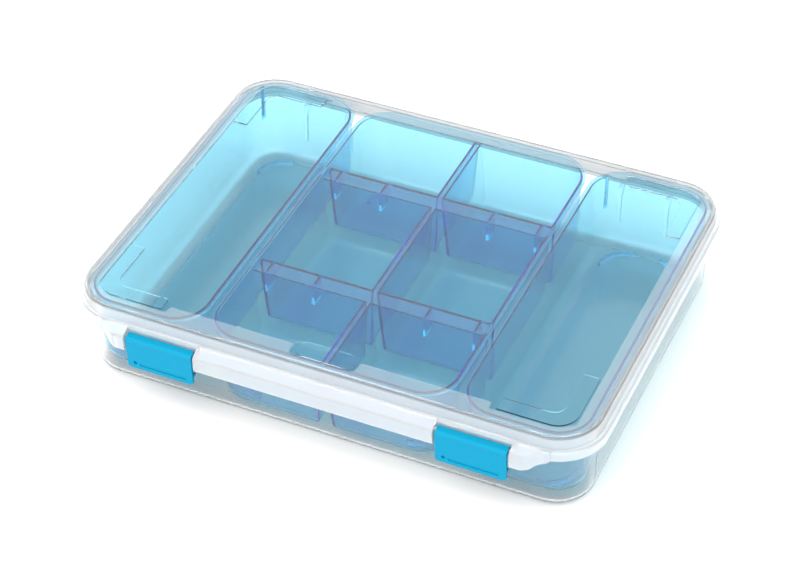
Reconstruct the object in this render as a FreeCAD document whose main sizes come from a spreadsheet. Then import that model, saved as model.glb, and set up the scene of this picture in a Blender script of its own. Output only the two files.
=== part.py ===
"""Clip-lid parts organizer: a clear outer case with three lift-out trays.

Millimetres, +X to the right, +Y to the hinge side, +Z up. The origin is at the centre of the underside.
The lid turns about a pin line behind the rear wall, two clips turn on bars in the lid's front apron, and
the trays lift straight up out of the base.
"""
import FreeCAD, Part
import Sketcher
import math
import os

Vector = FreeCAD.Vector
ORIGIN = -1
START, END = 1, 2

doc = FreeCAD.newDocument("PartsOrganizer")

# ---------------------------------------------------------------- driving dimensions (mm and degrees)
SIZES = {
    # base: outer shell
    "base_length": 339.8,
    "base_depth": 251.0,
    "base_height": 59.0,
    "base_corner": 25.0,
    "base_draft": 1.65,
    "base_wall": 1.5,
    "base_floor": 1.8,
    "base_edge_round": 6.0,
    "foot_ring_width": 7.0,
    "foot_ring_height": 1.0,
    # base: flange round the rim
    "flange_length": 348.8,
    "flange_depth": 258.4,
    "flange_corner": 29.0,
    "flange_level": 48.0,
    "flange_thickness": 1.5,
    # base: catch lugs at the front
    "lug_width": 34.0,
    "lug_top": 38.4,
    "lug_reach": 136.6,
    "lug_lip": 4.8,
    # lid: panel, flange and skirt
    "lid_length": 354.6,
    "lid_depth": 264.0,
    "lid_corner": 32.0,
    "skirt_bottom": 45.1,
    "lid_flange_level": 52.9,
    "panel_length": 349.0,
    "panel_depth": 260.0,
    "panel_corner": 29.5,
    "panel_draft": 5.0,
    "lid_top": 61.7,
    "lid_wall": 1.6,
    "lid_clearance": 0.6,
    # lid: window, stacking lugs and medallion
    "window_length": 323.0,
    "window_depth": 240.0,
    "window_waist": 229.0,
    "window_waist_length": 217.0,
    "window_corner": 15.0,
    "window_recess": 0.4,
    "medallion_length": 40.0,
    "medallion_depth": 13.0,
    "medallion_level": 116.5,
    "stack_lug_leg": 48.0,
    "stack_lug_width": 10.0,
    "stack_lug_height": 0.6,
    # lid: front apron
    "apron_reach": 139.8,
    "apron_bottom": 39.0,
    "apron_edge_level": 50.0,
    "notch_inner": 80.5,
    "notch_outer": 129.5,
    "ear_flat_end": 137.0,
    "ear_end": 152.5,
    # clips
    "clip_centre": 105.0,
    "clip_width": 46.0,
    "clip_wall": 1.6,
    "clip_corner": 3.0,
    "clip_crease": 0.5,
    "clip_top": 49.9,
    "clip_bottom": 25.4,
    "clip_front": 139.9,
    "pivot_reach": 135.0,
    "pivot_level": 47.5,
    "pivot_bar_radius": 1.2,
    "pivot_barrel_radius": 2.4,
    "running_clearance": 0.08,
    # rear hinges
    "hinge_centre": 117.3,
    "hinge_reach": 136.7,
    "hinge_level": 47.0,
    "knuckle_radius": 3.2,
    "pin_radius": 1.5,
    "lid_knuckle_width": 30.0,
    "fork_cheek_width": 2.6,
    "fork_gusset_foot": 14.0,
    "fork_gap": 0.4,
    # trays
    "rim_level": 59.5,
    "tray_floor_level": 4.3,
    "tray_foot_level": 1.9,
    "tray_depth": 250.4,
    "side_tray_inner": 86.4,
    "side_tray_outer": 169.6,
    "centre_tray_half": 83.4,
    "tray_corner": 24.0,
    "tray_wall": 1.4,
    "tray_draft": 3.4,
    "tray_rim_width": 1.8,
    "tray_rim_thickness": 1.3,
    "tray_edge_round": 10.0,
    "foot_rib_radius": 20.0,
    "foot_rib_width": 1.8,
    "corner_rib_length": 26.0,
    "corner_rib_setback": 5.0,
    # centre tray
    "ridge_drop": 4.0,
    "column_ridge": 5.0,
    "row_ridge": 12.4,
    "row_ridge_centre": 50.8,
    "column_draft": 4.3,
    "row_draft": 1.0,
    "well_edge_round": 4.0,
    "gusset_height": 14.0,
    "gusset_width": 1.6,
}


def fill_sheet():
    """Write every driving dimension into the sheet, one aliased cell each."""
    cells = doc.addObject("Spreadsheet::Sheet", "Sizes")
    for row, (name, number) in enumerate(SIZES.items(), 1):
        cells.set(f"A{row}", name)
        cells.set(f"B{row}", str(number))
        cells.setAlias(f"B{row}", name)
    doc.recompute()
    return cells


sheet = fill_sheet()


def bound(expression):
    """An expression in the sheet's names, written as the document's expressions need it."""
    words = sorted(SIZES, key=len, reverse=True)
    text, out = str(expression), ""
    while text:
        for word in words:
            if text.startswith(word):
                out, text = out + "Sizes." + word, text[len(word):]
                break
        else:
            out, text = out + text[0], text[1:]
    return out


def value(expression):
    """The number that an expression in the sheet's names comes to."""
    number = sheet.evalExpression(bound(expression))
    return float(getattr(number, "Value", number))


# ---------------------------------------------------------------- sketches
def new_sketch(body, name, plane="XY_Plane", offset="0"):
    """A sketch on one of the body's own origin planes, moved along the plane's normal."""
    sketch = body.newObject("Sketcher::SketchObject", name)
    support = [item for item in body.Origin.OriginFeatures if item.Role == plane][0]
    sketch.AttachmentSupport = [(support, "")]
    sketch.MapMode = "FlatFace"
    sketch.setExpression("AttachmentOffset.Base.z", bound(offset))
    return sketch


def fix_point(sketch, geometry, point, x, y):
    """Hold a point of the sketch at expressions measured from the sketch's origin."""
    for kind, expression in (("DistanceX", x), ("DistanceY", y)):
        index = sketch.addConstraint(
            Sketcher.Constraint(kind, ORIGIN, START, geometry, point, value(expression)))
        sketch.setExpression(f"Constraints[{index}]", bound(expression))


def outline(sketch, corners):
    """A closed outline. Each corner is (x, y) or (x, y, radius) in expressions of the sheet's names."""
    places = [Vector(value(corner[0]), value(corner[1]), 0) for corner in corners]
    radii = [value(corner[2]) if len(corner) > 2 else 0.0 for corner in corners]
    count = len(corners)
    entries, exits, centres = [], [], []
    for here in range(count):
        back = (places[here - 1] - places[here]).normalize()
        ahead = (places[(here + 1) % count] - places[here]).normalize()
        half_turn = back.getAngle(ahead) / 2
        reach = radii[here] / math.tan(half_turn) if radii[here] else 0.0
        entries.append(places[here] + back * reach)
        exits.append(places[here] + ahead * reach)
        middle = (back + ahead).normalize() if radii[here] else back
        centres.append(places[here] + middle * (radii[here] / math.sin(half_turn)))
    lines = []
    for here in range(count):
        line = Part.LineSegment(exits[here], entries[(here + 1) % count])
        lines.append(sketch.addGeometry(line))
    for here in range(count):
        before, after = lines[here - 1], lines[here]
        if not radii[here]:
            sketch.addConstraint(Sketcher.Constraint("Coincident", before, END, after, START))
            fix_point(sketch, after, START, corners[here][0], corners[here][1])
            continue
        round_corner(sketch, corners[here], places[here], (before, after),
                     (entries[here], exits[here], centres[here]))


def round_corner(sketch, corner, place, lines, arc_points):
    """Join two lines by a tangent arc, with the sharp corner kept as a construction point."""
    before, after = lines
    entry, leave, centre = arc_points
    radius = value(corner[2])
    begin = math.atan2(entry.y - centre.y, entry.x - centre.x)
    finish = math.atan2(leave.y - centre.y, leave.x - centre.x)
    left_turn = (entry - centre).cross(leave - centre).z > 0
    if not left_turn:
        begin, finish = finish, begin
    circle = Part.Circle(centre, Vector(0, 0, 1), radius)
    arc = sketch.addGeometry(Part.ArcOfCircle(circle, begin, finish))
    first, last = (START, END) if left_turn else (END, START)
    sketch.addConstraint(Sketcher.Constraint("Tangent", before, END, arc, first))
    sketch.addConstraint(Sketcher.Constraint("Tangent", arc, last, after, START))
    index = sketch.addConstraint(Sketcher.Constraint("Radius", arc, radius))
    sketch.setExpression(f"Constraints[{index}]", bound(corner[2]))
    tip = sketch.addGeometry(Part.Point(place), True)
    fix_point(sketch, tip, START, corner[0], corner[1])
    sketch.addConstraint(Sketcher.Constraint("PointOnObject", tip, START, before))
    sketch.addConstraint(Sketcher.Constraint("PointOnObject", tip, START, after))


def rectangle(sketch, left, right, front, back, radius=None):
    """A rectangle, with four equal rounded corners if a radius is given."""
    corners = [(left, front), (right, front), (right, back), (left, back)]
    if radius is not None:
        corners = [corner + (radius,) for corner in corners]
    outline(sketch, corners)


def centred_rectangle(sketch, length, depth, radius):
    """A rounded rectangle about the sketch's origin."""
    rectangle(sketch, f"-({length}) / 2", f"({length}) / 2", f"-({depth}) / 2", f"({depth}) / 2", radius)


def circle(sketch, x, y, radius):
    """A circle fixed by its centre and radius."""
    centre = Vector(value(x), value(y), 0)
    ring = sketch.addGeometry(Part.Circle(centre, Vector(0, 0, 1), value(radius)))
    fix_point(sketch, ring, 3, x, y)
    index = sketch.addConstraint(Sketcher.Constraint("Radius", ring, value(radius)))
    sketch.setExpression(f"Constraints[{index}]", bound(radius))


# ---------------------------------------------------------------- features
def new_body(name):
    return doc.addObject("PartDesign::Body", name)


def extrude(body, kind, name, sketch, length, taper, upward):
    """A pad or a pocket of a sketch, along its plane's normal or against it."""
    feature = body.newObject(f"PartDesign::{kind}", name)
    feature.Profile = sketch
    feature.setExpression("Length", bound(length))
    if taper is not None:
        feature.setExpression("TaperAngle", bound(taper))
    feature.Reversed = upward if kind == "Pocket" else not upward
    before = body.Shape.Volume if not body.Shape.isNull() else 0.0
    doc.recompute()
    if feature.Shape.isNull():
        raise RuntimeError(f"{name}: {feature.getStatusString()}")
    gained = feature.Shape.Volume - before
    if (gained > 0) != (kind == "Pad"):
        raise RuntimeError(f"{name} changed the volume the wrong way: {gained:.1f}")
    return feature


def pad(body, name, sketch, length, taper=None, upward=True):
    return extrude(body, "Pad", name, sketch, length, taper, upward)


def pocket(body, name, sketch, length, taper=None, upward=False):
    return extrude(body, "Pocket", name, sketch, length, taper, upward)


def fillet(body, name, radius, chosen):
    """Round the edges of the body's present shape for which chosen(edge) is true."""
    base = body.Tip
    edges = [f"Edge{number}" for number, edge in enumerate(base.Shape.Edges, 1) if chosen(edge)]
    feature = body.newObject("PartDesign::Fillet", name)
    feature.Base = (base, edges)
    feature.setExpression("Radius", bound(radius))
    doc.recompute()
    if feature.Shape.isNull() or not feature.Shape.isValid():
        raise RuntimeError(f"{name}: {feature.getStatusString()} on {len(edges)} edges")
    return feature


def level_edge(level):
    """Chooses the edges that lie wholly at one height."""
    height = value(level)

    def chosen(edge):
        box = edge.BoundBox
        return abs(box.ZMin - height) < 1e-4 and abs(box.ZMax - height) < 1e-4
    return chosen


def cut_core(body, core):
    """Cut another body, the core that forms an inside, out of this one."""
    cut = body.newObject("PartDesign::Boolean", f"{core.Name}_cut")
    cut.Type = "Cut"
    cut.setObjects([core])
    doc.recompute()


def wedge(body, name, low, high, bottom, top):
    """A block between two levels with its own rectangle (left, right, front, back) at each."""
    block = body.newObject("PartDesign::AdditiveWedge", name)
    support = [item for item in body.Origin.OriginFeatures if item.Role == "XZ_Plane"][0]
    block.AttachmentSupport = [(support, "")]
    block.MapMode = "FlatFace"
    places = {
        "Ymin": low, "Ymax": high,
        "Xmin": bottom[0], "Xmax": bottom[1], "Zmin": f"-({bottom[3]})", "Zmax": f"-({bottom[2]})",
        "X2min": top[0], "X2max": top[1], "Z2min": f"-({top[3]})", "Z2max": f"-({top[2]})"}
    for field, expression in places.items():
        block.setExpression(field, bound(expression))
    doc.recompute()
    return block


def spread(height, draft):
    """How far a drafted wall moves outwards over a height."""
    return f"({height}) * tan({draft})"


# ---------------------------------------------------------------- base
def make_base():
    """The clear case: drafted shell, foot ring, rim flange, catch lugs and hinge forks."""
    body = new_body("base_box")
    sketch = new_sketch(body, "base_footprint")
    centred_rectangle(sketch, "base_length", "base_depth", "base_corner")
    pad(body, "base_shell", sketch, "base_height", "base_draft")
    fillet(body, "base_bottom_round", "base_edge_round", level_edge("0"))

    sketch = new_sketch(body, "flange_outline", offset="flange_level")
    centred_rectangle(sketch, "flange_length", "flange_depth", "flange_corner")
    pad(body, "rim_flange", sketch, "flange_thickness")
    base_lugs(body)
    hinge_forks(body)

    core = new_body("base_core")
    sketch = new_sketch(core, "base_core_footprint", offset="base_floor")
    centred_rectangle(sketch, "base_length - 2 * base_wall", "base_depth - 2 * base_wall",
                      "base_corner - base_wall")
    pad(core, "base_core_block", sketch, "base_height + 5", "base_draft")
    fillet(core, "base_core_round", "base_edge_round - base_wall", level_edge("base_floor"))
    cut_core(body, core)

    sketch = new_sketch(body, "foot_recess_outline")
    inset = "2 * (base_edge_round + foot_ring_width)"
    centred_rectangle(sketch, f"base_length - {inset}", f"base_depth - {inset}", "base_corner - base_edge_round")
    pocket(body, "foot_recess", sketch, "foot_ring_height", upward=True)
    return body


def base_lugs(body):
    """Two brackets whose lips the clips hook under."""
    wall = "base_depth / 2"
    lug_bottom = "lug_top - lug_lip"
    for side in ("-1", "1"):
        sketch = new_sketch(body, "lug_profile", "YZ_Plane", f"{side} * clip_centre - lug_width / 2")
        outline(sketch, [
            (f"-{wall}", "lug_top"),
            ("-lug_reach", "lug_top", "0.5"),
            ("-lug_reach", lug_bottom, "0.4"),
            ("1.4 - lug_reach", lug_bottom, "0.4"),
            ("1.4 - lug_reach", "lug_top - 1.8", "0.4"),
            (f"-{wall}", "lug_top - 6")])
        pad(body, "catch_lug", sketch, "lug_width")


def hinge_forks(body):
    """Pairs of bracket cheeks behind the rear wall, bored for the hinge pins."""
    half = "(lid_knuckle_width / 2 + fork_gap)"
    for side in ("-1", "1"):
        middle = f"{side} * hinge_centre"
        for start in (f"{middle} - {half} - fork_cheek_width", f"{middle} + {half}"):
            sketch = new_sketch(body, "cheek_profile", "YZ_Plane", start)
            outline(sketch, [
                ("base_depth / 2", "fork_gusset_foot"),
                ("base_depth / 2 + 1.6", "fork_gusset_foot"),
                ("base_depth / 2 + 3.6", "hinge_level - 12", "6"),
                ("hinge_reach + 2.4", "hinge_level - 2"),
                ("hinge_reach", "hinge_level"),
                ("hinge_reach - 3", "hinge_level + 1"),
                ("hinge_reach - 4", "hinge_level - 2.8"),
                ("base_depth / 2", "hinge_level - 2.8")])
            pad(body, "fork_cheek", sketch, "fork_cheek_width")
            sketch = new_sketch(body, "cheek_round", "YZ_Plane", start)
            circle(sketch, "hinge_reach", "hinge_level", "knuckle_radius")
            pad(body, "fork_knuckle", sketch, "fork_cheek_width")
            sketch = new_sketch(body, "cheek_bore", "YZ_Plane", start)
            circle(sketch, "hinge_reach", "hinge_level", "pin_radius")
            pocket(body, "fork_bore", sketch, "fork_cheek_width", upward=True)


# ---------------------------------------------------------------- lid
def make_lid():
    """The clear lid: stepped shell, recessed window, stacking lugs, front apron and hinge knuckles."""
    body = new_body("lid")
    sketch = new_sketch(body, "skirt_outline", offset="skirt_bottom")
    centred_rectangle(sketch, "lid_length", "lid_depth", "lid_corner")
    pad(body, "lid_skirt", sketch, "lid_flange_level - skirt_bottom")
    fillet(body, "flange_round", "1.5", level_edge("lid_flange_level"))
    sketch = new_sketch(body, "panel_outline", offset="lid_flange_level")
    centred_rectangle(sketch, "panel_length", "panel_depth", "panel_corner")
    pad(body, "lid_panel", sketch, "lid_top - lid_flange_level", "-panel_draft")
    fillet(body, "panel_round", "1.3", level_edge("lid_top"))
    front_apron(body)
    lid_knuckles(body)

    sketch = new_sketch(body, "skirt_hollow_outline", offset="skirt_bottom")
    centred_rectangle(sketch, "lid_length - 2 * lid_wall", "lid_depth - 2 * lid_wall", "lid_corner - lid_wall")
    pocket(body, "skirt_hollow", sketch, "lid_flange_level - lid_wall - skirt_bottom", upward=True)
    sketch = new_sketch(body, "panel_hollow_outline", offset="skirt_bottom")
    growth = spread("base_height", "base_draft")
    centred_rectangle(sketch, f"base_length + 2 * {growth} + 2 * lid_clearance",
                      f"base_depth + 2 * {growth} + 2 * lid_clearance", "base_corner + 2.5")
    pocket(body, "panel_hollow", sketch, "lid_top - lid_wall - skirt_bottom", upward=True)
    window(body)
    clip_bars(body)
    return body


def apron_outline(sketch, inset, rear):
    """The plan of the apron's middle part and its two ears, drawn in by an inset."""
    front = f"{inset} - apron_reach"
    inner = f"notch_inner - {inset}"
    rectangle(sketch, f"-({inner})", inner, front, rear)
    ear = [
        (f"notch_outer + {inset}", rear),
        (f"notch_outer + {inset}", front),
        (f"ear_flat_end - {inset} / 2", front, "6"),
        (f"ear_end - 4 - {inset}", f"{inset} - lid_depth / 2", "6"),
        (f"ear_end - {inset}", f"{inset} - lid_depth / 2"),
        (f"ear_end - {inset}", rear)]
    outline(sketch, ear)
    outline(sketch, [(f"-({corner[0]})",) + corner[1:] for corner in reversed(ear)])


def front_apron(body):
    """The deeper front edge that covers the clips' bars: a middle part and two ears, open below."""
    sketch = new_sketch(body, "apron_plan", offset="apron_bottom")
    apron_outline(sketch, "0", "lid_wall - lid_depth / 2")
    pad(body, "apron", sketch, "lid_flange_level - apron_bottom")
    sketch = new_sketch(body, "apron_slope_profile", "YZ_Plane", "-ear_end - 1")
    outline(sketch, [
        ("-lid_depth / 2", "lid_flange_level"),
        ("-lid_depth / 2", "lid_flange_level + 5"),
        ("-apron_reach - 1", "lid_flange_level + 5"),
        ("-apron_reach - 1", "apron_edge_level - 1.2"),
        ("-apron_reach", "apron_edge_level - 1.2"),
        ("1.2 - apron_reach", "apron_edge_level", "1.2")])
    pocket(body, "apron_slope", sketch, "2 * ear_end + 2", upward=True)
    sketch = new_sketch(body, "apron_hollow_plan", offset="apron_bottom")
    apron_outline(sketch, "lid_wall", "lid_wall - lid_depth / 2 + 1")
    pocket(body, "apron_hollow", sketch, "apron_edge_level - lid_wall - apron_bottom", upward=True)
    ear_cuts(body)


def ear_cuts(body):
    """The ears' lower edges rise in a wave to the skirt's lower edge at their outer ends."""
    cut = [
        ("ear_flat_end + 3.5", "apron_bottom - 1"),
        ("ear_end + 2", "apron_bottom - 1"),
        ("ear_end + 2", "skirt_bottom"),
        ("ear_end - 0.5", "skirt_bottom", "1"),
        ("ear_end - 2.5", "apron_bottom + 3.6", "1.5"),
        ("ear_flat_end + 7", "apron_bottom + 2.4", "4")]
    for side in ("-1", "1"):
        corners = cut if side == "1" else reversed(cut)
        sketch = new_sketch(body, "ear_cut_profile", "XZ_Plane", "lid_depth / 2 - lid_wall - 1")
        outline(sketch, [(f"{side} * ({corner[0]})",) + corner[1:] for corner in corners])
        pocket(body, "ear_cut", sketch, "12", upward=True)


def lid_knuckles(body):
    """The barrels that turn on the hinge pins, each with its web to the rear skirt."""
    for side in ("-1", "1"):
        start = f"{side} * hinge_centre - lid_knuckle_width / 2"
        sketch = new_sketch(body, "web_profile", "YZ_Plane", start)
        rectangle(sketch, "lid_depth / 2 - 1", "hinge_reach", "hinge_level + 0.4", "hinge_level + knuckle_radius")
        pad(body, "knuckle_web", sketch, "lid_knuckle_width")
        sketch = new_sketch(body, "knuckle_round", "YZ_Plane", start)
        circle(sketch, "hinge_reach", "hinge_level", "knuckle_radius")
        pad(body, "lid_knuckle", sketch, "lid_knuckle_width")
        sketch = new_sketch(body, "knuckle_bore_outline", "YZ_Plane", start)
        circle(sketch, "hinge_reach", "hinge_level", "pin_radius + running_clearance")
        pocket(body, "knuckle_bore", sketch, "lid_knuckle_width", upward=True)


def window(body):
    """The recessed clear window, the stacking lugs in its corners and the oval medallion at its front."""
    waist = "window_waist_length / 2"
    right = [
        (waist, "-window_waist / 2", "1.5"),
        (waist, "-window_depth / 2", "1.5"),
        ("window_length / 2", "-window_depth / 2", "window_corner"),
        ("window_length / 2", "window_depth / 2", "window_corner"),
        (waist, "window_depth / 2", "1.5"),
        (waist, "window_waist / 2", "1.5")]
    bump = [
        ("-medallion_length / 2 - 4", "-window_waist / 2", "3"),
        ("-medallion_length / 2 - 1", "-medallion_level - medallion_depth / 2 - 1", "4"),
        ("medallion_length / 2 + 1", "-medallion_level - medallion_depth / 2 - 1", "4"),
        ("medallion_length / 2 + 4", "-window_waist / 2", "3")]
    left = [(f"-({corner[0]})",) + corner[1:] for corner in reversed(right)]
    sketch = new_sketch(body, "window_outline", offset="lid_top")
    outline(sketch, bump + right + left)
    pocket(body, "window_recess", sketch, "window_recess")

    sketch = new_sketch(body, "medallion_outline", offset="lid_top - window_recess - 0.1")
    rectangle(sketch, "-medallion_length / 2", "medallion_length / 2",
              "-medallion_level - medallion_depth / 2", "-medallion_level + medallion_depth / 2",
              "medallion_depth / 2 - 0.05")
    pad(body, "medallion", sketch, "window_recess + 0.3")

    sketch = new_sketch(body, "stack_lug_outline", offset="lid_top - window_recess - 0.1")
    for across in ("-1", "1"):
        for along in ("-1", "1"):
            stack_lug(sketch, across, along)
    pad(body, "stack_lugs", sketch, "stack_lug_height + window_recess + 0.1")


def stack_lug(sketch, across, along):
    """One raised L in a corner of the window."""
    edge_x, edge_y = "(window_length / 2 - 1)", "(window_depth / 2 - 1)"
    corners = [
        (f"{edge_x} - stack_lug_leg", edge_y, "1"),
        (f"{edge_x} - stack_lug_leg", f"{edge_y} - stack_lug_width", "1"),
        (f"{edge_x} - stack_lug_width", f"{edge_y} - stack_lug_width", "window_corner / 2"),
        (f"{edge_x} - stack_lug_width", f"{edge_y} - stack_lug_leg", "1"),
        (edge_x, f"{edge_y} - stack_lug_leg", "1"),
        (edge_x, edge_y, "window_corner - 1")]
    outline(sketch, [(f"{across} * ({x})", f"{along} * ({y})", radius) for x, y, radius in corners])


def clip_bars(body):
    """The round bars across the apron's notches that the clips snap onto."""
    for start in ("-notch_outer - 1", "notch_inner - 1"):
        sketch = new_sketch(body, "bar_section", "YZ_Plane", start)
        circle(sketch, "-pivot_reach", "pivot_level", "pivot_bar_radius")
        pad(body, "clip_bar", sketch, "notch_outer - notch_inner + 2")


# ---------------------------------------------------------------- clips
def make_clip(name, side):
    """A snap clip: top arm, face plate, hook, finger lip and the barrel that snaps onto the lid's bar."""
    body = new_body(name)
    start = f"{side} * clip_centre - clip_width / 2"
    face = "(clip_front - clip_crease)"
    inside = f"clip_wall - {face}"
    sketch = new_sketch(body, "clip_profile", "YZ_Plane", start)
    outline(sketch, [
        ("1.4 - pivot_reach", "clip_top", "0.4"),
        ("2 - clip_front", "clip_top - 0.2", "1"),
        ("-clip_front", "clip_top - 1.9", "0.4"),
        (f"-{face}", "clip_top - 3", "0.6"),
        (f"-{face}", "clip_bottom", "0.8"),
        (f"3 - {face}", "clip_bottom", "0.5"),
        (f"3 - {face}", "clip_bottom + 1.5", "0.5"),
        (inside, "clip_bottom + 2.4"),
        (inside, "clip_bottom + 5.2"),
        ("5 - clip_front", "clip_bottom + 6.8", "0.3"),
        ("5 - clip_front", "clip_bottom + 7.4", "0.2"),
        (inside, "clip_bottom + 7.4"),
        (inside, "clip_top - clip_wall - 1"),
        (f"{inside} + 0.6", "clip_top - clip_wall - 0.4"),
        ("1.4 - pivot_reach", "clip_top - clip_wall")])
    pad(body, "clip_plate", sketch, "clip_width")
    sketch = new_sketch(body, "barrel_section", "YZ_Plane", start)
    circle(sketch, "-pivot_reach", "pivot_level", "pivot_barrel_radius")
    pad(body, "barrel", sketch, "clip_width")
    sketch = new_sketch(body, "barrel_bore_section", "YZ_Plane", start)
    circle(sketch, "-pivot_reach", "pivot_level", "pivot_bar_radius + running_clearance")
    pocket(body, "barrel_bore", sketch, "clip_width", upward=True)
    sketch = new_sketch(body, "snap_slot_section", "YZ_Plane", start)
    rectangle(sketch, "-pivot_reach - 0.95", "-pivot_reach + 0.95",
              "pivot_level - pivot_barrel_radius - 0.2", "pivot_level")
    pocket(body, "snap_slot", sketch, "clip_width", upward=True)
    sketch = new_sketch(body, "trim_outline", "XZ_Plane", "clip_front + 1")
    middle = f"{side} * clip_centre"
    rectangle(sketch, f"{middle} - clip_width / 2 - 2", f"{middle} + clip_width / 2 + 2",
              "clip_bottom - 2", "clip_top + 6")
    rectangle(sketch, f"{middle} - clip_width / 2", f"{middle} + clip_width / 2",
              "clip_bottom", "clip_top + 4", "clip_corner")
    pocket(body, "corner_trim", sketch, "10")
    clip_face(body, side)
    return body


def clip_face(body, side):
    """The long shallow slot near the lower edge and the round gate dimple beside it."""
    middle = f"{side} * clip_centre"
    face = "clip_front - clip_crease"
    sketch = new_sketch(body, "slot_outline", "XZ_Plane", face)
    rectangle(sketch, f"{middle} - 14.5", f"{middle} + 18", "clip_bottom + 3.2", "clip_bottom + 5.4", "0.8")
    pocket(body, "long_slot", sketch, "0.5")
    sketch = new_sketch(body, "gate_mark_outline", "XZ_Plane", face)
    circle(sketch, f"{middle} - 17.6", "clip_bottom + 5", "1.3")
    pocket(body, "gate_mark", sketch, "1")


# ---------------------------------------------------------------- trays
def foot_ribs(body, left, right, depth):
    """Arc-shaped ribs under the floor, concentric with its four corners."""
    inset = f"({spread('rim_level - tray_floor_level', 'tray_draft')} + tray_rim_width)"
    reach = f"{depth} / 2 - {inset} - 9"
    for name, x, sign_x in (("left", f"{left} + {inset} + 8", 1), ("right", f"{right} - {inset} - 8", -1)):
        for sign_y in (1, -1):
            sketch = new_sketch(body, f"foot_{name}_outline", offset="tray_foot_level")
            arc_band(sketch, f"{x} + {sign_x} * foot_rib_radius",
                     f"{sign_y} * ({reach} - foot_rib_radius)", -sign_x, sign_y)
            pad(body, "foot_rib", sketch, "tray_floor_level - tray_foot_level + 3")


def arc_band(sketch, x, y, sign_x, sign_y):
    """A quarter band between two concentric arcs, in the quadrant that the signs name."""
    outer = value("foot_rib_radius")
    inner = outer - value("foot_rib_width")
    centre = Vector(value(x), value(y), 0)
    quadrant = {(1, 1): 0, (-1, 1): 1, (-1, -1): 2, (1, -1): 3}[(sign_x, sign_y)]
    begin = quadrant * math.pi / 2
    arcs = []
    for radius in (outer, inner):
        ring = Part.Circle(centre, Vector(0, 0, 1), radius)
        arcs.append(sketch.addGeometry(Part.ArcOfCircle(ring, begin, begin + math.pi / 2)))
    for finish in (START, END):
        ends = [sketch.Geometry[arc].StartPoint if finish == START else sketch.Geometry[arc].EndPoint
                for arc in arcs]
        line = sketch.addGeometry(Part.LineSegment(ends[0], ends[1]))
        sketch.addConstraint(Sketcher.Constraint("Coincident", line, START, arcs[0], finish))
        sketch.addConstraint(Sketcher.Constraint("Coincident", line, END, arcs[1], finish))
        upright = (quadrant % 2 == 0) == (finish == END)
        sketch.addConstraint(Sketcher.Constraint("Vertical" if upright else "Horizontal", line))
    for arc, radius in zip(arcs, ("foot_rib_radius", "foot_rib_radius - foot_rib_width")):
        fix_point(sketch, arc, 3, x, y)
        index = sketch.addConstraint(Sketcher.Constraint("Radius", arc, value(radius)))
        sketch.setExpression(f"Constraints[{index}]", bound(radius))


def tub(body, left, right):
    """The outside of a tray: drafted block with a rounded bottom edge, and the flat rim round its top."""
    inset = f"({spread('rim_level - tray_floor_level', 'tray_draft')} + tray_rim_width)"
    sketch = new_sketch(body, "tub_footprint", offset="tray_floor_level")
    rectangle(sketch, f"{left} + {inset}", f"{right} - {inset}",
              f"{inset} - tray_depth / 2", f"tray_depth / 2 - {inset}", f"tray_corner - {inset}")
    pad(body, "tub_block", sketch, "rim_level - tray_floor_level", "tray_draft")
    fillet(body, "tub_bottom_round", "tray_edge_round", level_edge("tray_floor_level"))
    sketch = new_sketch(body, "rim_outline", offset="rim_level - tray_rim_thickness")
    rectangle(sketch, left, right, "-tray_depth / 2", "tray_depth / 2", "tray_corner")
    pad(body, "rim", sketch, "tray_rim_thickness")


def make_side_tray(name, left, right):
    """A long open tray with foot ribs and one short upright rib outside its rear left corner."""
    body = new_body(name)
    tub(body, left, right)
    foot_ribs(body, left, right, "tray_depth")
    rear_rib(body, f"{left} + 7.8")
    core = new_body(f"{name}_core")
    inset = f"({spread('rim_level - tray_floor_level - tray_wall', 'tray_draft')} + tray_rim_width + tray_wall)"
    sketch = new_sketch(core, "core_footprint", offset="tray_floor_level + tray_wall")
    rectangle(sketch, f"{left} + {inset}", f"{right} - {inset}",
              f"{inset} - tray_depth / 2", f"tray_depth / 2 - {inset}", f"tray_corner - {inset}")
    pad(core, "core_block", sketch, "rim_level", "tray_draft")
    fillet(core, "core_round", "tray_edge_round - tray_wall", level_edge("tray_floor_level + tray_wall"))
    cut_core(body, core)
    return body


def rear_rib(body, place):
    """A short upright rib under the rim, outside the wall where it curves round the corner."""
    bottom = "(rim_level - corner_rib_length)"
    outer = "tray_depth / 2 - tray_rim_width - corner_rib_setback"
    sketch = new_sketch(body, "rear_rib_profile", "YZ_Plane", f"{place} - 0.7")
    outline(sketch, [
        (f"{outer} - 9", bottom),
        (f"{outer} - {spread('corner_rib_length', 'tray_draft')}", bottom),
        (outer, "rim_level - 0.5"),
        (f"{outer} - 9", "rim_level - 0.5")])
    pad(body, "rear_rib", sketch, "1.4")


# ---------------------------------------------------------------- centre tray
def well_plan(side, row, level, wall):
    """A well's rectangle (left, right, front, back) at a level, drawn in from its outside by a wall."""
    outer = f"tray_rim_width + (rim_level - {level}) * tan(tray_draft) + {wall}"
    fall = f"(rim_level - ridge_drop - {level})"
    column = f"column_ridge / 2 - tray_wall + {fall} * tan(column_draft) + {wall}"
    ridge = f"(row_ridge / 2 - tray_wall + {fall} * tan(row_draft) + {wall})"
    front, back = {
        "front": (f"{outer} - tray_depth / 2", f"-row_ridge_centre - {ridge}"),
        "middle": (f"{ridge} - row_ridge_centre", f"row_ridge_centre - {ridge}"),
        "back": (f"row_ridge_centre + {ridge}", f"tray_depth / 2 - ({outer})")}[row]
    across = [column, f"centre_tray_half - ({outer})"]
    if side == "-1":
        across = [f"-({x})" for x in reversed(across)]
    return across + [front, back]


def collar_plan(level, wall):
    """The rectangle inside the rim at a level, drawn in from the tray's outside by a wall."""
    inset = f"(tray_rim_width + (rim_level - {level}) * tan(tray_draft) + {wall})"
    return [f"{inset} - centre_tray_half", f"centre_tray_half - {inset}",
            f"{inset} - tray_depth / 2", f"tray_depth / 2 - {inset}"]


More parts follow.
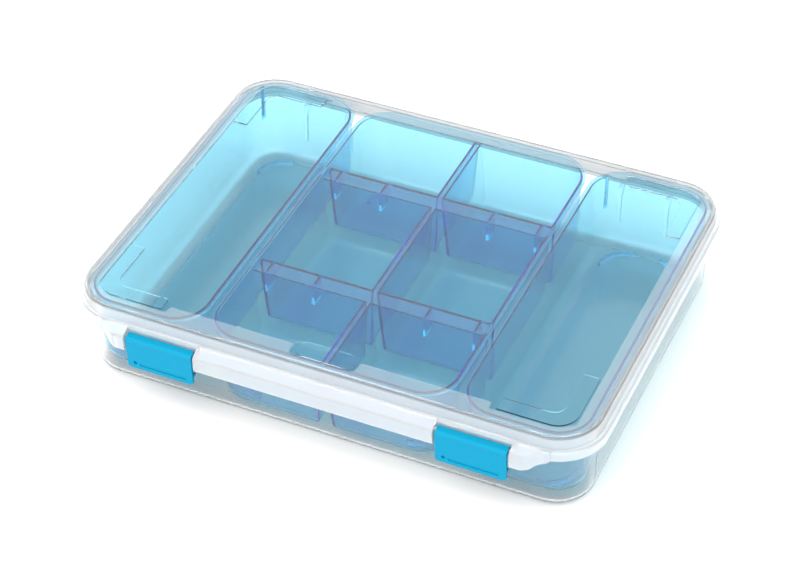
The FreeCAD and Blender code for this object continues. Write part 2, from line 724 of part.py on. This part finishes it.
def upright_edge(half_length=None):
    """Chooses tall edges: those of the tray's own corners, or all others if a half length is given."""
    def chosen(edge):
        box = edge.BoundBox
        tall = box.ZLength > 0.9 * value("ridge_drop") and len(edge.Vertexes) == 2
        at_corner = (min(abs(box.XMin), abs(box.XMax)) > value("centre_tray_half") - 9
                     and min(abs(box.YMin), abs(box.YMax)) > value("tray_depth") / 2 - 9)
        return tall and at_corner
    return chosen


def make_centre_tray():
    """Six wells hung from a shared rim and from hollow ridges, which are open below."""
    body = new_body("tray_center")
    plate = "(rim_level - ridge_drop - tray_wall)"
    low = "tray_floor_level"
    wedge(body, "collar", plate, "rim_level", collar_plan(plate, "0"), collar_plan("rim_level", "0"))
    for side in ("-1", "1"):
        for row in ("front", "middle", "back"):
            wedge(body, f"well_{row}", low, f"{plate} + 0.5",
                  well_plan(side, row, low, "0"), well_plan(side, row, f"({plate} + 0.5)", "0"))
    fillet(body, "tray_corner_round", "tray_corner - tray_rim_width", upright_edge())
    fillet(body, "wells_bottom_round", "well_edge_round + tray_wall", level_edge(low))
    sketch = new_sketch(body, "rim_outline", offset="rim_level - tray_rim_thickness")
    rectangle(sketch, "-centre_tray_half", "centre_tray_half", "-tray_depth / 2", "tray_depth / 2", "tray_corner")
    pad(body, "rim", sketch, "tray_rim_thickness")
    foot_ribs(body, "-centre_tray_half", "centre_tray_half", "tray_depth")
    gussets(body, plate)

    core = new_body("tray_center_core")
    ridge, top, floor = "(rim_level - ridge_drop)", "(rim_level + 4)", "(tray_floor_level + tray_wall)"
    wedge(core, "collar_core", ridge, top, collar_plan(ridge, "tray_wall"), collar_plan(top, "tray_wall"))
    for side in ("-1", "1"):
        for row in ("front", "middle", "back"):
            wedge(core, f"well_{row}_core", floor, ridge,
                  well_plan(side, row, floor, "tray_wall"), well_plan(side, row, ridge, "tray_wall"))
    fillet(core, "core_corner_round", "tray_corner - tray_rim_width - tray_wall", upright_edge())
    fillet(core, "wells_floor_round", "well_edge_round", level_edge(floor))
    cut_core(body, core)
    return body


def gussets(body, plate_level):
    """Short upright webs inside the row ridges, between the wells on either side."""
    for place in ("-row_ridge_centre", "row_ridge_centre"):
        sketch = new_sketch(body, "gusset_outline", offset=plate_level)
        for x in ("-72", "-38.5", "38.5", "72"):
            rectangle(sketch, f"{x} - gusset_width / 2", f"{x} + gusset_width / 2",
                      f"{place} - row_ridge / 2 + 0.5", f"{place} + row_ridge / 2 - 0.5")
        pad(body, "gusset", sketch, "gusset_height", upward=False)


# ---------------------------------------------------------------- hinge pins
def make_pin(name, side):
    """A plain round pin, pressed into the fork's two cheeks."""
    pin = doc.addObject("Part::Cylinder", name)
    length = "Sizes.lid_knuckle_width + 2 * Sizes.fork_gap + 2 * Sizes.fork_cheek_width"
    pin.setExpression("Radius", "Sizes.pin_radius")
    pin.setExpression("Height", length)
    pin.Placement = FreeCAD.Placement(Vector(0, 0, 0), FreeCAD.Rotation(Vector(0, 1, 0), 90))
    pin.setExpression("Placement.Base.x", f"{side} * Sizes.hinge_centre - ({length}) / 2")
    pin.setExpression("Placement.Base.y", "Sizes.hinge_reach")
    pin.setExpression("Placement.Base.z", "Sizes.hinge_level")
    return pin


def make_all():
    """Every sub-part, in the order that they would be put together."""
    parts = [
        make_base(),
        make_pin("hinge_pin_left", -1),
        make_pin("hinge_pin_right", 1),
        make_lid(),
        make_clip("clip_left", -1),
        make_clip("clip_right", 1),
        make_side_tray("tray_left", "-side_tray_outer", "-side_tray_inner"),
        make_side_tray("tray_right", "side_tray_inner", "side_tray_outer"),
        make_centre_tray()]
    doc.recompute()
    return parts


def write_all(parts):
    """Check every object and write one STEP file for each sub-part."""
    broken = [item.Name for item in doc.Objects if {"Invalid", "Error"} & set(item.State)]
    if broken:
        raise RuntimeError(f"failed objects: {broken}")
    os.makedirs("parts", exist_ok=True)
    for item in parts:
        shape = item.Shape
        if shape.isNull() or not shape.isValid() or len(shape.Solids) != 1:
            raise RuntimeError(f"{item.Label} is not one valid solid")
        shape.exportStep(f"parts/{item.Label}.step")
        box = shape.optimalBoundingBox(False)
        print(f"{item.Label:16s} volume {shape.Volume / 1000:8.2f} cm3   "
              f"x {box.XMin:8.2f} {box.XMax:8.2f}   y {box.YMin:8.2f} {box.YMax:8.2f}   "
              f"z {box.ZMin:7.2f} {box.ZMax:7.2f}")


write_all(make_all())
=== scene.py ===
"""Looks of the clip-lid parts organizer, on the CAD frame. Metres, +X right, +Y to the hinges, +Z up."""

import bpy
import math
from mathutils import Matrix, Vector

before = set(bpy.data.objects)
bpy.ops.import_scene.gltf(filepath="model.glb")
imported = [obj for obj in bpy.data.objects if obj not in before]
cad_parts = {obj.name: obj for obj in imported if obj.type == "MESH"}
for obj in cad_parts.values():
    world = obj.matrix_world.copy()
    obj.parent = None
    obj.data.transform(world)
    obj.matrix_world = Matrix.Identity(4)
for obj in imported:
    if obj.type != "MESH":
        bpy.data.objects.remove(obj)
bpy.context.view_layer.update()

PLASTIC_IOR = 1.49
MIRROR_TINT = (0.6, 0.6, 0.6, 1)      # dims what see-through plastic mirrors
SCATTER_ROUGHNESS = 0.5
GRAIN_DEPTH = 0.0002
CLEAR_GRAIN_STRENGTH = 0.04
SOLID_GRAIN_STRENGTH = 0.06
NOISE_DETAIL = 2.0
ROUGHNESS_NOISE = (0.3, 0.7)          # the part of the noise over which roughness goes from low to high
SCATTER_NOISE = (0.35, 0.65)          # the same for the scattered share
CLEAR_ROUGHNESS_SPREAD = 0.2
SOLID_ROUGHNESS_SPREAD = 0.15
NO_LAMP_LOSS = (0.995, 0.995, 0.995, 1)

# The lid's clear window in plan: a wide middle, two rounded ends and a tongue at the front
WINDOW_HALF_X = 0.1615
WINDOW_MIDDLE_HALF_Y = 0.1145
WINDOW_MIDDLE_CORNER = 0.001
WINDOW_END_HALF_Y = 0.120
WINDOW_END_CORNER = 0.015
WINDOW_END_START = 0.1085
TONGUE_HALF_X = 0.0225
TONGUE_HALF_Y = 0.0095
TONGUE_CORNER = 0.004
PANEL_LEVEL = 0.0598                  # everything on the lid above this is its panel
MASK_EDGE = 0.0006                    # how far the window's edge fades

LID_POLISHED_ROUGHNESS = 0.02
LID_FROSTED_ROUGHNESS = 0.1
LID_ROUGHNESS_GRAIN = 0.04
LID_FLANGE_SCATTER = 0.36             # the share of light that the flange and skirt scatter
LID_PANEL_RELIEF = 0.24               # how much less of it the frosted border of the panel scatters
LID_SCATTER_GRAIN = 0.01
LID_SCATTER_COLOUR = (0.92, 0.94, 0.96, 1)
LID_GRAIN = 900.0

FLOOR_SIZE = 12.0
FLOOR_LEVEL = -0.0005
FLOOR_GRAIN = 40.0
FLOOR_SHADES = (0.93, 0.93, 0.93, 1.0), (0.95, 0.95, 0.95, 1.0)
LAMP_SIZE = 3.0
LAMP_TARGET = (0, 0, 0.03)
WORLD_STRENGTH = 1.32
THROUGH_WALLS_BOUNCES = 64
MIRRORED_BOUNCES = 16
SCATTERED_BOUNCES = 8


# ---------------------------------------------------------------- node helpers
def material(name):
    """An empty node material: returns it, its tree, and the output's surface socket."""
    made = bpy.data.materials.new(name)
    made.use_nodes = True
    tree = made.node_tree
    tree.nodes.clear()
    output = tree.nodes.new("ShaderNodeOutputMaterial")
    return made, tree, output.inputs["Surface"]


def feed(tree, socket, value):
    """Give an input socket a link or a plain value."""
    if isinstance(value, bpy.types.NodeSocket):
        tree.links.new(value, socket)
    else:
        socket.default_value = value


def add(tree, kind, inputs=None, **settings):
    """A node with its settings; inputs are sockets to link or plain values."""
    node = tree.nodes.new(kind)
    for key, value in settings.items():
        setattr(node, key, value)
    for key, value in (inputs or {}).items():
        feed(tree, node.inputs[key], value)
    return node


def own_place(tree):
    """The point's place in the piece's own coordinates."""
    return add(tree, "ShaderNodeTexCoord").outputs["Object"]


def speckle(tree, scale):
    """Fine noise in the piece's own coordinates."""
    settings = {"Vector": own_place(tree), "Scale": scale, "Detail": NOISE_DETAIL}
    return add(tree, "ShaderNodeTexNoise", settings).outputs["Fac"]


def grain_normal(tree, noise, strength):
    """The surface normal, tilted a little by the noise."""
    settings = {"Height": noise, "Strength": strength, "Distance": GRAIN_DEPTH}
    return add(tree, "ShaderNodeBump", settings).outputs["Normal"]


def ramp(tree, source, low_value, high_value, start=0.0, end=1.0):
    """Maps a number from one range to another, clamped."""
    return add(tree, "ShaderNodeMapRange", {
        "Value": source, "From Min": start, "From Max": end,
        "To Min": low_value, "To Max": high_value}).outputs["Result"]


def blend_colours(tree, factor, first, second):
    """A colour between two by a number."""
    node = add(tree, "ShaderNodeMix", data_type="RGBA")
    feed(tree, node.inputs[0], factor)
    feed(tree, node.inputs[6], first)       # 6 and 7 are the node's two colours, and output 2 their blend
    feed(tree, node.inputs[7], second)
    return node.outputs[2]


def blend_shaders(tree, factor, first, second):
    """A shader between two by a number."""
    return add(tree, "ShaderNodeMixShader", {0: factor, 1: first, 2: second}).outputs[0]


def number(tree, operation, first, second=0.0):
    """One arithmetic step."""
    return add(tree, "ShaderNodeMath", {0: first, 1: second}, operation=operation).outputs[0]


def inside_box(tree, x, y, half_x, half_y, corner):
    """1 inside a rounded rectangle about the origin and 0 outside it, in the piece's plan."""
    squares = []
    for place, half in ((x, half_x), (y, half_y)):
        distance = number(tree, "ABSOLUTE", place)
        past_corner = number(tree, "SUBTRACT", distance, half - corner)
        past_corner = number(tree, "MAXIMUM", past_corner)
        squares.append(number(tree, "MULTIPLY", past_corner, past_corner))
    reach = number(tree, "SQRT", number(tree, "ADD", *squares))
    return ramp(tree, reach, 1.0, 0.0, corner - MASK_EDGE, corner + MASK_EDGE)


def rgb(red, green, blue):
    """A colour given by its 0 to 255 screen values, as linear light."""
    def linear(value):
        value /= 255
        return value / 12.92 if value <= 0.04045 else ((value + 0.055) / 1.055) ** 2.4
    return (linear(red), linear(green), linear(blue), 1.0)


def darker(colour, factor):
    """The same colour with less light."""
    return tuple(factor * part for part in colour[:3]) + (1.0,)


# ---------------------------------------------------------------- plastics and metal
def pass_lamps(tree, shader, tint):
    """The shader for sight, and tinted clearness for the rays that look for lamps, so light gets inside."""
    lamp_ray = add(tree, "ShaderNodeLightPath").outputs["Is Shadow Ray"]
    clear = add(tree, "ShaderNodeBsdfTransparent", {"Color": tint}).outputs[0]
    return blend_shaders(tree, lamp_ray, shader, clear)


def glass(tree, tint, rough, normal, shine):
    """The light that goes through the plastic or mirrors off it."""
    return add(tree, "ShaderNodeBsdfPrincipled", {
        "Base Color": tint, "Roughness": rough, "Normal": normal, "IOR": PLASTIC_IOR,
        "Specular IOR Level": shine, "Specular Tint": MIRROR_TINT, "Transmission Weight": 1.0}).outputs[0]


def scatter(tree, colour, shine):
    """The light that the plastic's surface scatters."""
    return add(tree, "ShaderNodeBsdfPrincipled", {
        "Base Color": colour, "Roughness": SCATTER_ROUGHNESS, "Specular IOR Level": shine}).outputs[0]


def clear_plastic(name, tint, lamp_tint, roughness, grain, haze, haze_colour, shine,
                  depth_colour=None, depth_density=0.0):
    """See-through plastic: it bends light, has a fine grain, and is tinted at its faces and by its depth.

    haze is the share of light that the surface scatters, as the range of that share over the grain.
    """
    made, tree, surface = material(name)
    noise = speckle(tree, grain)
    rough = ramp(tree, noise, roughness * (1 - CLEAR_ROUGHNESS_SPREAD),
                 roughness * (1 + CLEAR_ROUGHNESS_SPREAD), *ROUGHNESS_NOISE)
    sight = glass(tree, tint, rough, grain_normal(tree, noise, CLEAR_GRAIN_STRENGTH), shine)
    share = ramp(tree, noise, *haze, *SCATTER_NOISE)
    mixed = blend_shaders(tree, share, sight, scatter(tree, haze_colour, shine))
    feed(tree, surface, pass_lamps(tree, mixed, lamp_tint))
    if depth_colour:
        depth = add(tree, "ShaderNodeVolumeAbsorption", {"Color": depth_colour, "Density": depth_density})
        feed(tree, surface.node.inputs["Volume"], depth.outputs[0])
    return made


def opaque_plastic(name, colour, roughness, grain, shine):
    """Solid moulded plastic with a faint grain."""
    made, tree, surface = material(name)
    noise = speckle(tree, grain)
    body = add(tree, "ShaderNodeBsdfPrincipled", {
        "Base Color": blend_colours(tree, noise, colour, darker(colour, 0.9)),
        "Roughness": ramp(tree, noise, roughness * (1 - SOLID_ROUGHNESS_SPREAD),
                          roughness * (1 + SOLID_ROUGHNESS_SPREAD)),
        "Normal": grain_normal(tree, noise, SOLID_GRAIN_STRENGTH),
        "Specular IOR Level": shine})
    feed(tree, surface, body.outputs[0])
    return made


def drawn_metal(name, colour, grain):
    """Drawn wire: metal with fine bands over its surface."""
    made, tree, surface = material(name)
    settings = {"Vector": own_place(tree), "Scale": grain, "Distortion": 2.0}
    bands = add(tree, "ShaderNodeTexWave", settings).outputs["Fac"]
    body = add(tree, "ShaderNodeBsdfPrincipled", {
        "Base Color": blend_colours(tree, bands, colour, darker(colour, 0.85)),
        "Metallic": 1.0,
        "Roughness": ramp(tree, bands, 0.25, 0.4)})
    feed(tree, surface, body.outputs[0])
    return made


def window_mask(tree):
    """Two masks on the lid: 1 in its clear window, and 1 on its whole panel."""
    place = add(tree, "ShaderNodeSeparateXYZ", {0: own_place(tree)})
    x, y, z = place.outputs
    middle = inside_box(tree, x, y, WINDOW_HALF_X, WINDOW_MIDDLE_HALF_Y, WINDOW_MIDDLE_CORNER)
    rounded = inside_box(tree, x, y, WINDOW_HALF_X, WINDOW_END_HALF_Y, WINDOW_END_CORNER)
    at_ends = number(tree, "GREATER_THAN", number(tree, "ABSOLUTE", x), WINDOW_END_START)
    ends = number(tree, "MULTIPLY", rounded, at_ends)
    tongue_y = number(tree, "ADD", y, WINDOW_MIDDLE_HALF_Y)
    tongue = inside_box(tree, x, tongue_y, TONGUE_HALF_X, TONGUE_HALF_Y, TONGUE_CORNER)
    plan = number(tree, "MAXIMUM", tongue, number(tree, "MAXIMUM", middle, ends))
    panel = number(tree, "GREATER_THAN", z, PANEL_LEVEL)
    return number(tree, "MULTIPLY", plan, panel), panel


def lid_plastic():
    """The lid's clear plastic: polished in the window, finely frosted round it, milky at flange and skirt."""
    made, tree, surface = material("lid_plastic")
    window, panel = window_mask(tree)
    noise = speckle(tree, LID_GRAIN)
    rough = number(tree, "ADD", ramp(tree, window, LID_FROSTED_ROUGHNESS, LID_POLISHED_ROUGHNESS),
                   number(tree, "MULTIPLY", noise, LID_ROUGHNESS_GRAIN))
    sight = glass(tree, (1, 1, 1, 1), rough, grain_normal(tree, noise, CLEAR_GRAIN_STRENGTH), shine=0.15)
    body = scatter(tree, LID_SCATTER_COLOUR, shine=0.2)
    border = number(tree, "SUBTRACT", LID_FLANGE_SCATTER, number(tree, "MULTIPLY", panel, LID_PANEL_RELIEF))
    outside = number(tree, "MULTIPLY", border, number(tree, "SUBTRACT", 1.0, window))
    share = number(tree, "ADD", outside, number(tree, "MULTIPLY", noise, LID_SCATTER_GRAIN))
    feed(tree, surface, pass_lamps(tree, blend_shaders(tree, share, sight, body), NO_LAMP_LOSS))
    return made


# ---------------------------------------------------------------- the pieces
def paint(names, made):
    """Give CAD nodes one material."""
    for name in names:
        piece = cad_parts[name]
        piece.data.materials.clear()
        piece.data.materials.append(made)


paint(["tray_left", "tray_center", "tray_right"], clear_plastic(
    "blue_tray", tint=(0.56, 0.88, 1.0, 1), lamp_tint=(0.95, 0.99, 1.0, 1), roughness=0.06, grain=500.0,
    haze=(0.04, 0.06), haze_colour=(0.0, 0.55, 0.98, 1), shine=0.1,
    depth_colour=(0.0, 0.895, 0.995, 1), depth_density=350.0))
paint(["clip_left", "clip_right"], opaque_plastic(
    "teal_clip", rgb(0, 143, 180), roughness=0.3, grain=700.0, shine=0.1))
paint(["hinge_pin_left", "hinge_pin_right"], drawn_metal("pin_steel", (0.55, 0.56, 0.58, 1.0), grain=300.0))
paint(["base_box"], clear_plastic(
    "clear_case", tint=(1, 1, 1, 1), lamp_tint=NO_LAMP_LOSS, roughness=0.05, grain=900.0,
    haze=(0.03, 0.07), haze_colour=(0.85, 0.85, 0.86, 1), shine=0.3))
paint(["lid"], lid_plastic())


# ---------------------------------------------------------------- stage
def make_floor():
    """A large pale floor with a faint mottle."""
    bpy.ops.mesh.primitive_plane_add(size=FLOOR_SIZE, location=(0, 0, FLOOR_LEVEL))
    floor = bpy.context.object
    floor.name = "floor"
    made, tree, surface = material("floor_paper")
    shade = blend_colours(tree, speckle(tree, FLOOR_GRAIN), *FLOOR_SHADES)
    body = add(tree, "ShaderNodeBsdfPrincipled", {"Base Color": shade, "Roughness": 0.9})
    feed(tree, surface, body.outputs[0])
    floor.data.materials.append(made)


def make_light(name, place, power):
    """A large square lamp that faces the case."""
    data = bpy.data.lights.new(name, "AREA")
    data.size = LAMP_SIZE
    data.energy = power
    lamp = bpy.data.objects.new(name, data)
    lamp.location = place
    away = Vector(place) - Vector(LAMP_TARGET)
    lamp.rotation_mode = "QUATERNION"
    lamp.rotation_quaternion = away.to_track_quat("Z", "Y")
    bpy.context.scene.collection.objects.link(lamp)


def make_world():
    """An even white surround."""
    world = bpy.data.worlds.new("surround")
    world.use_nodes = True
    background = world.node_tree.nodes["Background"]
    background.inputs["Color"].default_value = (1, 1, 1, 1)
    background.inputs["Strength"].default_value = WORLD_STRENGTH
    bpy.context.scene.world = world


def make_camera():
    """The camera, from its turn, height, roll and place."""
    turn = math.radians(25.438)
    height = math.radians(41.1325)
    roll = math.radians(-1.5784)
    place = (0.48463, -1.02789, 1.0128)
    back = Vector((math.sin(turn) * math.cos(height), -math.cos(turn) * math.cos(height), math.sin(height)))
    right = Vector((math.cos(turn), math.sin(turn), 0))
    up = back.cross(right)
    across = right * math.cos(roll) + up * math.sin(roll)
    upright = up * math.cos(roll) - right * math.sin(roll)
    data = bpy.data.cameras.new("camera")
    data.sensor_width = 36.0
    data.lens = 104.06
    data.clip_start = 0.05
    data.clip_end = 30.0
    camera = bpy.data.objects.new("camera", data)
    axes = Matrix((across, upright, back)).transposed().to_4x4()
    camera.matrix_world = Matrix.Translation(place) @ axes
    bpy.context.scene.collection.objects.link(camera)
    bpy.context.scene.camera = camera


def set_light_paths():
    """Enough bounces for light to cross every wall of the lid, the case and the trays."""
    cycles = bpy.context.scene.cycles
    cycles.max_bounces = THROUGH_WALLS_BOUNCES
    cycles.transmission_bounces = THROUGH_WALLS_BOUNCES
    cycles.transparent_max_bounces = THROUGH_WALLS_BOUNCES
    cycles.glossy_bounces = MIRRORED_BOUNCES
    cycles.diffuse_bounces = SCATTERED_BOUNCES
    cycles.caustics_refractive = False
    cycles.caustics_reflective = False


make_floor()
make_light("key", place=(-1.2, -1.0, 2.2), power=42)
make_light("fill", place=(1.8, -1.4, 1.5), power=24)
make_light("rear", place=(0.3, 2.0, 1.6), power=6)
make_world()
make_camera()
set_light_paths()
bpy.context.scene.view_settings.view_transform = "Standard"
